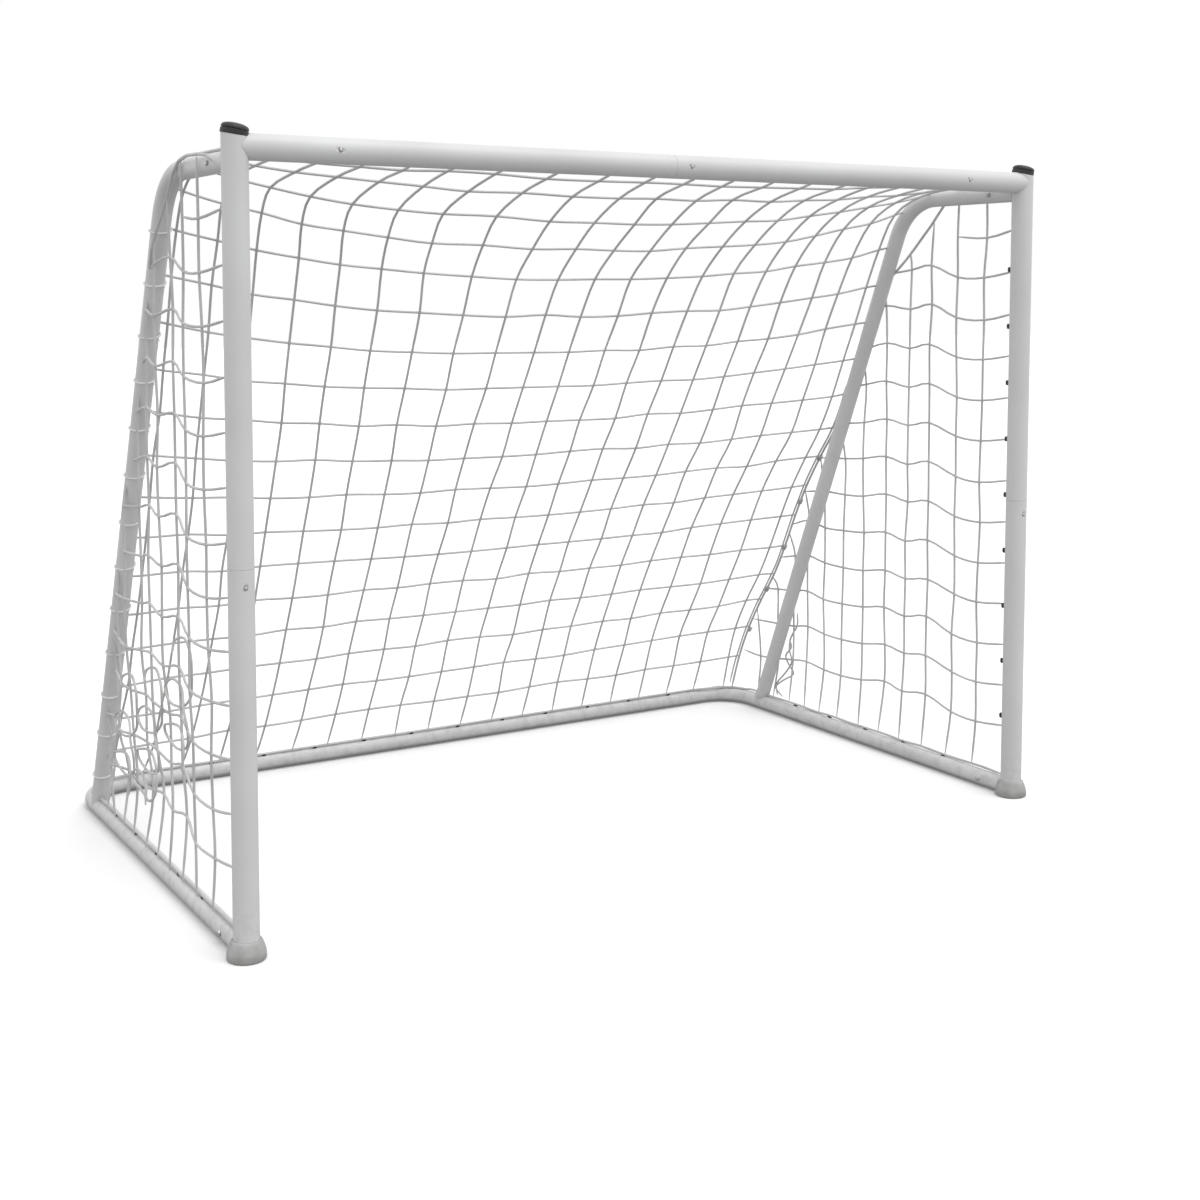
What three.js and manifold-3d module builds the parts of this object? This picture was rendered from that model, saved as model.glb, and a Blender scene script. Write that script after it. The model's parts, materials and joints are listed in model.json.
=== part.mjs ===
// Garden soccer goal: a white tubular steel frame that plugs together, with a net.
//
// Frame: millimetres, +X along the crossbar to the right, +Y from the mouth to the back, +Z up.
// The origin is on the ground, at the middle of the footprint.

import * as THREE from 'three';
import { mergeVertices } from 'three/addons/utils/BufferGeometryUtils.js';
import Module from 'manifold-3d';

const wasm = await Module();
wasm.setup();

// ---- Driving dimensions ----

const POST_SPACING = 2380; // between the axes of the two posts
const CROSSBAR_HEIGHT = 1812; // axis of the crossbar above the ground
const BASE_DEPTH = 1400; // from the post axes to the axis of the rear bar
const CORNER_DEPTH = 484; // from the post axes to where top bar and brace would meet without a bend
const TOP_BAR_DROP = 29; // axis of the top bars below the axis of the crossbar
const BRACE_LANDING = 1222; // from the post axes to the foot of the brace

const MAIN_R = 30; // posts and crossbar
const SIDE_R = 24; // top bars, braces and ground bars
const WALL = 1.2; // every tube's wall
const SLIP = 0.6; // radial gap between a plug end and the tube around it
const GAP = 0.4; // between pieces that touch

const TOP_BEND_R = 180; // axis of the bend from top bar to brace
const GROUND_BEND_R = 132; // axis of the rounded rear corner
const BEND_STEPS = 6;
const ROUND = 20; // sides of a tube
const PIN_SIDES = 12; // sides of a pin or a bolt's shank
const TURN_STEPS = 4; // of a spring strip's turn

const POST_SPLICE = 886; // height of the seam in each post
const POST_BUTTON = 846; // height of the button below that seam
const POST_TOP = CROSSBAR_HEIGHT + MAIN_R + 1; // rim of the post, under its cap
const CROSSBAR_BUTTON = POST_SPACING / 2 - 236;
const CROSSBAR_SEAM = -44; // the seam is beside the middle button
const REAR_SEAM = 994; // seams between the rear bars and the corner tubes
const REAR_BUTTON = 954;
const PLUG_LENGTH = 92; // of each narrow end inside its neighbour
const SHOULDER = 8; // of the solid ring where a narrow end joins its tube
const CROSS_ARM = 290; // arms on the posts, inside the crossbar
const SIDE_ARM = 146; // arms on the posts, inside the top bars and ground bars
const BRACE_SEAM = 900; // along the brace, down from the unbent corner
const BAR_START = 27; // front ends of the top bars and ground bars, behind the post axes
const ARM_BOLT = 112; // bolts through the top bars and ground bars, behind the post axes
const STUB_LENGTH = 128; // of the short arm that holds the foot of the brace
const STUB_BUTTON = 92;

const FOOT_R = 45;
const FOOT_HEIGHT = 46;
const FOOT_FLOOR = 5;
const NOTCH_START = 16; // behind the post axis, where the foot opens for the ground bar
const FOOT_WAIST = 18; // height of its widest part
const FOOT_LIP = 3;
const CAP_R = 31;
const CAP_HEIGHT = 30;
const CAP_CROWN = 10; // how far down its domed part reaches
const CAP_SHANK = 22; // inside the post
const CAP_TAPER = 2;

const BUTTON_R = 4.6;
const BUTTON_PROUD = 3; // the button's dome above the tube's face
const BUTTON_CLEARANCE = 0.4;
const PIN_SEAT = 9; // how far below the plug's bore the pin sits on its leaf
const PIN_FLANGE = 2; // its flange's width
const PIN_FLANGE_HEIGHT = 1.5;
const PIN_DOME = 2;
const LEAF = 1; // thickness of the spring strip
const LEAF_WIDTH = 10;
const LEAF_SEAT = 9; // half the length of the flat the pin sits on
const LEAF_REACH = 44; // from the pin to the turn of the strip
const LEAF_TURN_R = 5.5;
const LEAF_TURN_Z = -2.5; // the turn's middle, from the tube's axis
const LEAF_REST = 2; // the lower leaf's middle above the plug's bore
const BOLT_R = 4;
const BOLT_HOLE_R = 4.5;
const HEX_SIDES = 6;
const HEX_R = 7.5; // corner radius of bolt heads and nuts
const HEAD_HEIGHT = 5.3;
const NUT_HEIGHT = 6.5;
const BOLT_END = 2.5; // of thread past the nut

const NET_THICKNESS = 0.6;
const NET_SIDE = 31; // the side panels hang this far outboard of the post axes
const NET_INSET = 46; // the roof and back stop this far inboard of the post axes
const NET_EDGE = 8; // gap round a panel's edges
const RIDGE_GAP = 66; // roof and back stop this far from the line where they would meet

const PAST = 5; // how far a cut runs past the face it opens

// ---- Derived places ----

const POST_X = POST_SPACING / 2;
const REAR_REACH = BASE_DEPTH + SIDE_R + BUTTON_PROUD;
const FRONT_Y = -(REAR_REACH - FOOT_R) / 2; // the post axes, with the footprint centred on the origin
const BACK_Y = FRONT_Y + BASE_DEPTH;
const GROUND_Z = SIDE_R;
const TOP_BAR_Z = CROSSBAR_HEIGHT - TOP_BAR_DROP;
const MAIN_BORE = MAIN_R - WALL;
const SIDE_BORE = SIDE_R - WALL;
const MAIN_PLUG = MAIN_BORE - SLIP;
const SIDE_PLUG = SIDE_BORE - SLIP;

const at = (x, y, z) => new THREE.Vector3(x, y, z);
const along = (start, direction, distance) => start.clone().addScaledVector(direction, distance);

const X_AXIS = at(1, 0, 0);
const Y_AXIS = at(0, 1, 0);
const Z_AXIS = at(0, 0, 1);
const FRONT = at(0, -1, 0);
const DOWN = at(0, 0, -1);

const cornerAt = (x) => at(x, FRONT_Y + CORNER_DEPTH, TOP_BAR_Z);
const landingAt = (x) => at(x, FRONT_Y + BRACE_LANDING, GROUND_Z);
const BRACE_DOWN = landingAt(0).sub(cornerAt(0)).normalize();
const BRACE_BACK = at(0, -BRACE_DOWN.z, BRACE_DOWN.y); // square to the brace, away from the mouth

const SIDES = [
  { name: 'left', sign: -1 },
  { name: 'right', sign: 1 },
];

// ---- Materials ----

const material = (color, roughness, metalness) =>
  new THREE.MeshStandardMaterial({ color, roughness, metalness });
const whitePaint = material(0xdcdddd, 0.42, 0.1);
const blackPlastic = material(0x1b1b1d, 0.55, 0);
const greyRubber = material(0xb9babb, 0.8, 0);
const zincSteel = material(0xa9adb0, 0.35, 0.9);
const springSteel = material(0x6d7074, 0.4, 0.9);
const netCord = material(0xe9e9e7, 0.85, 0);

// ---- Geometry helpers ----

// A curve through given stations, with one sweep step between each two of them.
class Stations extends THREE.Curve {
  constructor(points) {
    super();
    this.points = points;
  }

  getPoint(t, target = new THREE.Vector3()) {
    const last = this.points.length - 1;
    const index = Math.min(Math.floor(t * last + 1e-9), last - 1);
    return target.lerpVectors(this.points[index], this.points[index + 1], t * last - index);
  }

  getPointAt(u, target) {
    return this.getPoint(u, target);
  }

  getTangentAt(u, target = new THREE.Vector3()) {
    const last = this.points.length - 1;
    const index = Math.round(u * last);
    const before = this.points[Math.max(index - 1, 0)];
    const here = this.points[index];
    const after = this.points[Math.min(index + 1, last)];
    const inward = here.clone().sub(before).normalize();
    const outward = after.clone().sub(here).normalize();
    return target.copy(inward).add(outward).normalize();
  }
}

function circle(radius) {
  const shape = new THREE.Shape();
  shape.absarc(0, 0, radius, 0, 2 * Math.PI);
  return shape;
}

function sweep(shape, points) {
  return new THREE.ExtrudeGeometry(shape, {
    steps: points.length - 1,
    curveSegments: ROUND / 2,
    bevelEnabled: false,
    extrudePath: new Stations(points),
  });
}

// The points of a route from start to end that rounds the corner between them.
function bend(start, corner, end, radius) {
  const inward = corner.clone().sub(start).normalize();
  const outward = end.clone().sub(corner).normalize();
  const turn = inward.angleTo(outward);
  const tangent = radius * Math.tan(turn / 2);
  const first = along(corner, inward, -tangent);
  const side = outward.clone().addScaledVector(inward, -outward.dot(inward)).normalize();
  const centre = along(first, side, radius);
  const points = [start];
  for (let step = 0; step <= BEND_STEPS; step += 1) {
    const angle = (turn * step) / BEND_STEPS;
    const across = along(centre, side, -radius * Math.cos(angle));
    points.push(along(across, inward, radius * Math.sin(angle)));
  }
  points.push(end);
  return points;
}

function toSolid(geometry) {
  const bare = geometry.clone();
  bare.deleteAttribute('normal');
  bare.deleteAttribute('uv');
  const merged = mergeVertices(bare, 1e-3);
  return new wasm.Manifold(
    new wasm.Mesh({
      numProp: 3,
      vertProperties: Float32Array.from(merged.attributes.position.array),
      triVerts: Uint32Array.from(merged.index.array),
    }),
  );
}

function toGeometry(solid) {
  const mesh = solid.getMesh();
  const geometry = new THREE.BufferGeometry();
  geometry.setAttribute('position', new THREE.BufferAttribute(mesh.vertProperties, 3));
  geometry.setIndex(new THREE.BufferAttribute(mesh.triVerts, 1));
  const flat = geometry.toNonIndexed();
  flat.computeVertexNormals();
  return flat;
}

// A straight or bent rod through the given points.
const rod = (radius, ...points) => toSolid(sweep(circle(radius), points));
const joined = (solids) => solids.reduce((sum, solid) => sum.add(solid));

// Joins the outer bodies and takes the bores and holes out of them.
function hollow(bodies, cuts) {
  return toGeometry(joined(bodies).subtract(joined(cuts)));
}

// A round profile turned about +Z, given as [radius, height] pairs.
function turned(profile, segments = ROUND) {
  const points = profile.map(([radius, height]) => new THREE.Vector2(radius, height));
  return new THREE.LatheGeometry(points, segments).rotateX(Math.PI / 2);
}

const goal = new THREE.Group();
goal.name = 'soccer_goal';

function add(name, geometry, finish) {
  const mesh = new THREE.Mesh(geometry, finish);
  mesh.name = name;
  goal.add(mesh);
  return mesh;
}

// Stands a mesh that was made along local +X and +Z on a tube: +X along it, +Z out of its face.
function orient(mesh, place, lengthwise, outward) {
  const basis = new THREE.Matrix4().makeBasis(lengthwise, outward.clone().cross(lengthwise), outward);
  mesh.quaternion.setFromRotationMatrix(basis);
  mesh.position.copy(place);
}

// ---- Snap buttons: a pin on a leaf spring, pushed in to part two tubes ----

function buttonHole(place, outward, radius) {
  const hole = BUTTON_R + BUTTON_CLEARANCE;
  return rod(hole, along(place, outward, radius / 2), along(place, outward, radius + PAST));
}

function snapButton(name, place, lengthwise, outward, tubeR, plugBore) {
  const seat = plugBore - PIN_SEAT;
  const crown = tubeR + BUTTON_PROUD;
  const pin = turned([
    [0, seat],
    [BUTTON_R + PIN_FLANGE, seat],
    [BUTTON_R + PIN_FLANGE, seat + PIN_FLANGE_HEIGHT],
    [BUTTON_R, seat + PIN_FLANGE_HEIGHT],
    [BUTTON_R, crown - PIN_DOME],
    [BUTTON_R * 0.7, crown - PIN_DOME * 0.3],
    [0, crown],
  ], PIN_SIDES);
  orient(add(`${name}_button`, pin, zincSteel), place, lengthwise, outward);

  // The strip lies under the pin, turns back on itself and rests against the far side of the bore.
  const section = new THREE.Shape();
  section.moveTo(-LEAF / 2, -LEAF_WIDTH / 2);
  section.lineTo(LEAF / 2, -LEAF_WIDTH / 2);
  section.lineTo(LEAF / 2, LEAF_WIDTH / 2);
  section.lineTo(-LEAF / 2, LEAF_WIDTH / 2);
  const high = seat - GAP - LEAF / 2;
  const route = [at(LEAF_SEAT, 0, high), at(-LEAF_SEAT, 0, high)];
  for (let step = 0; step <= TURN_STEPS; step += 1) {
    const angle = (Math.PI * step) / TURN_STEPS;
    const x = -LEAF_REACH - LEAF_TURN_R * Math.sin(angle);
    route.push(at(x, 0, LEAF_TURN_Z + LEAF_TURN_R * Math.cos(angle)));
  }
  route.push(at(LEAF_SEAT, 0, LEAF_REST - plugBore));
  orient(add(`${name}_spring`, sweep(section, route), springSteel), place, lengthwise, outward);
}

// ---- Bolts and nuts ----

// A cylinder about +Z with a given middle height.
function disc(radius, height, sides, middle) {
  const geometry = new THREE.CylinderGeometry(radius, radius, height, sides).rotateX(Math.PI / 2);
  return toSolid(geometry.translate(0, 0, middle));
}

function hexBolt(name, place, outward, tubeR) {
  const face = tubeR + GAP;
  const tip = face + NUT_HEIGHT + BOLT_END;
  const head = disc(HEX_R, HEAD_HEIGHT, HEX_SIDES, face + HEAD_HEIGHT / 2);
  const neck = face + HEAD_HEIGHT / 2;
  const shank = disc(BOLT_R, neck + tip, PIN_SIDES, (neck - tip) / 2);
  orient(add(`${name}_bolt`, toGeometry(head.add(shank)), zincSteel), place, Y_AXIS, outward);

  const nutMiddle = -(face + NUT_HEIGHT / 2);
  const body = disc(HEX_R, NUT_HEIGHT, HEX_SIDES, nutMiddle);
  const bore = disc(BOLT_R + GAP, NUT_HEIGHT + 2 * PAST, PIN_SIDES, nutMiddle);
  orient(add(`${name}_nut`, toGeometry(body.subtract(bore)), zincSteel), place, Y_AXIS, outward);
}

const boltHole = (place) =>
  rod(BOLT_HOLE_R, along(place, X_AXIS, -MAIN_R), along(place, X_AXIS, MAIN_R));

// The room a post takes out of the ends of the bars that meet it at a height.
const postCut = (sign, height) =>
  rod(
    MAIN_R + GAP,
    at(POST_X * sign, FRONT_Y, height - 2 * MAIN_R),
    at(POST_X * sign, FRONT_Y, height + 2 * MAIN_R),
  );

// ---- Posts, caps and feet ----

function post({ name, sign }) {
  const x = POST_X * sign;
  const axis = (z) => at(x, FRONT_Y, z);
  const inward = at(-sign, 0, 0);
  const mainPlugBore = MAIN_PLUG - WALL;
  const sidePlugBore = SIDE_PLUG - WALL;
  const buttonAt = axis(POST_BUTTON);
  const pinHole = buttonHole(buttonAt, FRONT, MAIN_R);
  const footing = FOOT_FLOOR + GAP;

  // The ground arm is welded to the lower post, and the ground bar slides over it.
  const groundArm = axis(GROUND_Z);
  add(
    `${name}_post_lower`,
    hollow(
      [
        rod(MAIN_R, axis(footing), axis(POST_SPLICE)),
        rod(SIDE_PLUG, groundArm, along(groundArm, Y_AXIS, SIDE_ARM)),
      ],
      [
        rod(MAIN_BORE, axis(footing - PAST), axis(POST_SPLICE + PAST)),
        rod(
          sidePlugBore,
          along(groundArm, Y_AXIS, MAIN_R + 1),
          along(groundArm, Y_AXIS, SIDE_ARM + PAST),
        ),
        boltHole(along(groundArm, Y_AXIS, ARM_BOLT)),
        pinHole,
      ],
    ),
    whitePaint,
  );

  // The upper post plugs into the lower one, and carries the arms of the crossbar and the top bar.
  const crossArm = axis(CROSSBAR_HEIGHT);
  const topArm = axis(TOP_BAR_Z);
  const crossButton = at(CROSSBAR_BUTTON * sign, FRONT_Y, CROSSBAR_HEIGHT);
  const seam = POST_SPLICE + GAP;
  const plugEnd = seam - PLUG_LENGTH;
  const arms = joined([
    rod(MAIN_PLUG, crossArm, along(crossArm, inward, CROSS_ARM)),
    rod(SIDE_PLUG, topArm, along(topArm, Y_AXIS, SIDE_ARM)),
  ]);
  const postRoom = rod(MAIN_BORE, axis(TOP_BAR_Z - 2 * MAIN_R), axis(POST_TOP + PAST));
  add(
    `${name}_post_upper`,
    hollow(
      [
        rod(MAIN_R, axis(seam), axis(POST_TOP)),
        rod(MAIN_PLUG, axis(plugEnd), axis(seam + SHOULDER)),
        arms.subtract(postRoom),
      ],
      [
        rod(MAIN_BORE, axis(seam + SHOULDER), axis(POST_TOP + PAST)),
        rod(mainPlugBore, axis(plugEnd - PAST), axis(seam + SHOULDER + PAST)),
        rod(
          mainPlugBore,
          along(crossArm, inward, MAIN_R + 1),
          along(crossArm, inward, CROSS_ARM + PAST),
        ),
        rod(
          sidePlugBore,
          along(topArm, Y_AXIS, MAIN_R + 1),
          along(topArm, Y_AXIS, SIDE_ARM + PAST),
        ),
        boltHole(along(topArm, Y_AXIS, ARM_BOLT)),
        buttonHole(crossButton, FRONT, MAIN_R),
        pinHole,
      ],
    ),
    whitePaint,
  );
  snapButton(`${name}_post`, buttonAt, DOWN, FRONT, MAIN_R, mainPlugBore);
  snapButton(`${name}_crossbar`, crossButton, inward, FRONT, MAIN_R, mainPlugBore);

  // The cap's shank fills the rim of the post, and its crown is domed.
  const shankR = MAIN_BORE - GAP;
  const cap = turned([
    [0, -CAP_SHANK],
    [shankR - CAP_TAPER, -CAP_SHANK],
    [shankR, -CAP_SHANK + 2 * CAP_TAPER],
    [shankR, GAP],
    [CAP_R, GAP],
    [CAP_R, CAP_HEIGHT - CAP_CROWN],
    [CAP_R - CAP_CROWN * 0.6, CAP_HEIGHT - CAP_CROWN * 0.3],
    [0, CAP_HEIGHT],
  ]);
  cap.translate(x, FRONT_Y, POST_TOP);
  add(`${name}_post_cap`, cap, blackPlastic);

  // The foot is a cup, open at the back where the ground bar leaves the post.
  const cup = toSolid(turned([
    [0, 0],
    [FOOT_R - FOOT_LIP, 0],
    [FOOT_R, FOOT_LIP],
    [FOOT_R, FOOT_WAIST],
    [FOOT_R - FOOT_LIP, FOOT_HEIGHT - 2 * FOOT_LIP - MAIN_R / 3],
    [MAIN_R + 2 * FOOT_LIP, FOOT_HEIGHT - FOOT_LIP],
    [MAIN_R + FOOT_LIP, FOOT_HEIGHT],
    [MAIN_R + GAP, FOOT_HEIGHT],
    [MAIN_R + GAP, FOOT_FLOOR],
    [0, FOOT_FLOOR],
  ]).translate(x, FRONT_Y, 0));
  const notchR = SIDE_R + GAP;
  const notchStart = along(groundArm, Y_AXIS, NOTCH_START);
  const notch = rod(notchR, notchStart, along(notchStart, Y_AXIS, FOOT_R));
  const slot = new THREE.BoxGeometry(2 * notchR, FOOT_R, FOOT_HEIGHT);
  slot.translate(x, notchStart.y + FOOT_R / 2, GROUND_Z + FOOT_HEIGHT / 2);
  add(`${name}_foot`, toGeometry(cup.subtract(notch).subtract(toSolid(slot))), greyRubber);
}

// ---- Crossbar, in two halves ----

// Its ends are shaped to the posts, and notched for the top bars that leave the posts beside them.
function crossbar() {
  const axis = (x) => at(x, FRONT_Y, CROSSBAR_HEIGHT);
  const middleHole = buttonHole(axis(0), FRONT, MAIN_R);
  const plugEnd = CROSSBAR_SEAM + PLUG_LENGTH;
  const endCuts = (sign) => [
    postCut(sign, CROSSBAR_HEIGHT),
    rod(
      SIDE_R + GAP,
      at(POST_X * sign, FRONT_Y, TOP_BAR_Z),
      at(POST_X * sign, FRONT_Y + 2 * MAIN_R, TOP_BAR_Z),
    ),
    buttonHole(axis(CROSSBAR_BUTTON * sign), FRONT, MAIN_R),
  ];

  add(
    'crossbar_left',
    hollow(
      [
        rod(MAIN_R, axis(-POST_X), axis(CROSSBAR_SEAM)),
        rod(MAIN_PLUG, axis(CROSSBAR_SEAM - SHOULDER), axis(plugEnd)),
      ],
      [
        rod(MAIN_BORE, axis(-POST_X - PAST), axis(CROSSBAR_SEAM - SHOULDER)),
        rod(MAIN_PLUG - WALL, axis(CROSSBAR_SEAM - SHOULDER - PAST), axis(plugEnd + PAST)),
        ...endCuts(-1),
        middleHole,
      ],
    ),
    whitePaint,
  );
  add(
    'crossbar_right',
    hollow(
      [rod(MAIN_R, axis(CROSSBAR_SEAM + GAP), axis(POST_X))],
      [rod(MAIN_BORE, axis(CROSSBAR_SEAM - PAST), axis(POST_X + PAST)), ...endCuts(1), middleHole],
    ),
    whitePaint,
  );
  snapButton('crossbar_middle', axis(0), X_AXIS, FRONT, MAIN_R, MAIN_PLUG - WALL);
}

// ---- Side frames: top bar and brace ----

function sideFrame({ name, sign }) {
  const x = POST_X * sign;
  const inward = at(-sign, 0, 0);
  const outward = at(sign, 0, 0);
  const plugBore = SIDE_PLUG - WALL;
  const start = at(x, FRONT_Y + BAR_START, TOP_BAR_Z);
  const corner = cornerAt(x);
  const onBrace = (distance) => along(corner, BRACE_DOWN, distance);
  const bolt = at(x, FRONT_Y + ARM_BOLT, TOP_BAR_Z);
  const buttonAt = onBrace(BRACE_SEAM + PLUG_LENGTH / 2);
  const pinHole = buttonHole(buttonAt, BRACE_BACK, SIDE_R);
  const topBore = bend(
    along(start, Y_AXIS, -PAST),
    corner,
    onBrace(BRACE_SEAM - SHOULDER),
    TOP_BEND_R,
  );

  add(
    `${name}_top_bar`,
    hollow(
      [
        rod(SIDE_R, ...bend(start, corner, onBrace(BRACE_SEAM), TOP_BEND_R)),
        rod(SIDE_PLUG, onBrace(BRACE_SEAM - SHOULDER), onBrace(BRACE_SEAM + PLUG_LENGTH)),
      ],
      [
        rod(SIDE_BORE, ...topBore),
        rod(
          plugBore,
          onBrace(BRACE_SEAM - SHOULDER - PAST),
          onBrace(BRACE_SEAM + PLUG_LENGTH + PAST),
        ),
        postCut(sign, TOP_BAR_Z),
        boltHole(bolt),
        pinHole,
      ],
    ),
    whitePaint,
  );

  // The brace slides over the plug above it and over the stub on the ground bar below it.
  const landing = landingAt(x);
  const overLanding = (distance) => along(landing, BRACE_DOWN, -distance);
  const foot = overLanding(SIDE_R / 2);
  const barRoom = rod(
    SIDE_R + GAP,
    along(landing, Y_AXIS, -4 * SIDE_R),
    along(landing, Y_AXIS, 4 * SIDE_R),
  );
  const stubButton = overLanding(STUB_BUTTON);
  const stubHole = buttonHole(stubButton, BRACE_BACK, SIDE_R);
  add(
    `${name}_brace`,
    hollow(
      [rod(SIDE_R, onBrace(BRACE_SEAM + GAP), foot)],
      [rod(SIDE_BORE, onBrace(BRACE_SEAM - PAST), landing), barRoom, pinHole, stubHole],
    ),
    whitePaint,
  );
  snapButton(`${name}_brace`, buttonAt, BRACE_DOWN, BRACE_BACK, SIDE_R, plugBore);
  hexBolt(`${name}_top_bar`, bolt, outward, SIDE_R);

  // The ground bar runs back from the post, round the rear corner and into the rear bar.
  const groundStart = at(x, FRONT_Y + BAR_START, GROUND_Z);
  const rearCorner = at(x, BACK_Y, GROUND_Z);
  const onRear = (distance) => at((REAR_SEAM - distance) * sign, BACK_Y, GROUND_Z);
  const rearButton = onRear(REAR_SEAM - REAR_BUTTON);
  const groundBolt = at(x, FRONT_Y + ARM_BOLT, GROUND_Z);
  const groundBore = bend(
    along(groundStart, Y_AXIS, -PAST),
    rearCorner,
    onRear(-SHOULDER),
    GROUND_BEND_R,
  );
  add(
    `${name}_ground_bar`,
    hollow(
      [
        rod(SIDE_R, ...bend(groundStart, rearCorner, onRear(0), GROUND_BEND_R)),
        rod(SIDE_PLUG, onRear(-SHOULDER), onRear(PLUG_LENGTH)),
        rod(SIDE_PLUG, landing, overLanding(STUB_LENGTH)),
      ],
      [
        rod(SIDE_BORE, ...groundBore),
        rod(plugBore, onRear(-SHOULDER - PAST), onRear(PLUG_LENGTH + PAST)),
        rod(plugBore, overLanding(SIDE_R * 1.5), overLanding(STUB_LENGTH + PAST)),
        postCut(sign, GROUND_Z),
        boltHole(groundBolt),
        buttonHole(rearButton, Y_AXIS, SIDE_R),
        stubHole,
      ],
    ),
    whitePaint,
  );
  const up = BRACE_DOWN.clone().negate();
  snapButton(`${name}_brace_foot`, stubButton, up, BRACE_BACK, SIDE_R, plugBore);
  snapButton(`${name}_rear`, rearButton, inward, Y_AXIS, SIDE_R, plugBore);
  hexBolt(`${name}_ground_bar`, groundBolt, outward, SIDE_R);
}

// ---- Rear bar, in two halves ----

function rearBar() {
  const axis = (x) => at(x, BACK_Y, GROUND_Z);
  const seam = CROSSBAR_SEAM;
  const plugEnd = seam + PLUG_LENGTH;
  const end = REAR_SEAM - GAP;
  const middleHole = buttonHole(axis(0), Y_AXIS, SIDE_R);
  add(
    'rear_bar_left',
    hollow(
      [
        rod(SIDE_R, axis(-end), axis(seam)),
        rod(SIDE_PLUG, axis(seam - SHOULDER), axis(plugEnd)),
      ],
      [
        rod(SIDE_BORE, axis(-end - PAST), axis(seam - SHOULDER)),
        rod(SIDE_PLUG - WALL, axis(seam - SHOULDER - PAST), axis(plugEnd + PAST)),
        buttonHole(axis(-REAR_BUTTON), Y_AXIS, SIDE_R),
        middleHole,
      ],
    ),
    whitePaint,
  );
  add(
    'rear_bar_right',
    hollow(
      [rod(SIDE_R, axis(seam + GAP), axis(end))],
      [
        rod(SIDE_BORE, axis(seam - PAST), axis(end + PAST)),
        buttonHole(axis(REAR_BUTTON), Y_AXIS, SIDE_R),
        middleHole,
      ],
    ),
    whitePaint,
  );
  snapButton('rear_middle', axis(0), X_AXIS, Y_AXIS, SIDE_R, SIDE_PLUG - WALL);
}

// ---- Net: one thin panel for each face of the goal ----

function netPanel(name, place, size, tilt) {
  const panel = new THREE.BoxGeometry(...size);
  const mesh = add(name, panel, netCord);
  mesh.position.copy(place);
  mesh.rotation.x = tilt;
}

function net() {
  const width = 2 * (POST_X - NET_INSET);
  const ridge = cornerAt(0);
  const rearFoot = at(0, BACK_Y, GROUND_Z);
  const down = rearFoot.clone().sub(ridge).normalize();
  const backLength = rearFoot.distanceTo(ridge);

  // The back runs from the ridge between the two bends down to the rear bar.
  const backEnd = backLength - SIDE_R - NET_EDGE * 2;
  const backMiddle = along(ridge, down, (RIDGE_GAP + backEnd) / 2);
  const backTilt = Math.atan2(down.z, down.y);
  netPanel('net_back', backMiddle, [width, backEnd - RIDGE_GAP, NET_THICKNESS], backTilt);

  // The roof lies between the top bars, from the crossbar to the ridge.
  const roofStart = MAIN_R + NET_EDGE * 2;
  const roofEnd = CORNER_DEPTH - RIDGE_GAP;
  const roofMiddle = at(0, FRONT_Y + (roofStart + roofEnd) / 2, TOP_BAR_Z);
  netPanel('net_roof', roofMiddle, [width, roofEnd - roofStart, NET_THICKNESS], 0);

  // Each side hangs outside the tubes, from the post to the edge of the back.
  const slope = (rearFoot.y - ridge.y) / (ridge.z - rearFoot.z);
  const backY = (z) => CORNER_DEPTH + (TOP_BAR_Z - z) * slope - NET_EDGE;
  const low = 2 * GROUND_Z + NET_EDGE;
  const high = TOP_BAR_Z - NET_EDGE;
  for (const { name, sign } of SIDES) {
    const outline = new THREE.Shape();
    outline.moveTo(NET_EDGE, low);
    outline.lineTo(backY(low), low);
    outline.lineTo(backY(high - RIDGE_GAP), high - RIDGE_GAP);
    outline.lineTo(CORNER_DEPTH - RIDGE_GAP, high);
    outline.lineTo(NET_EDGE, high);
    const panel = new THREE.ExtrudeGeometry(outline, { depth: NET_THICKNESS, bevelEnabled: false });
    panel.applyMatrix4(new THREE.Matrix4().makeBasis(Y_AXIS, Z_AXIS, X_AXIS));
    panel.translate((POST_X + NET_SIDE) * sign - NET_THICKNESS / 2, FRONT_Y, 0);
    add(`net_${name}`, panel, netCord);
  }
}

SIDES.forEach(post);
crossbar();
SIDES.forEach(sideFrame);
rearBar();
net();

export default goal;
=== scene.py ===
"""A garden soccer goal: white steel tubes that plug together, and a knotted net laced round them.

Metres, +X to the right along the crossbar, +Y from the mouth to the back, +Z up.
"""

import json
import math
import random

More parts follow.
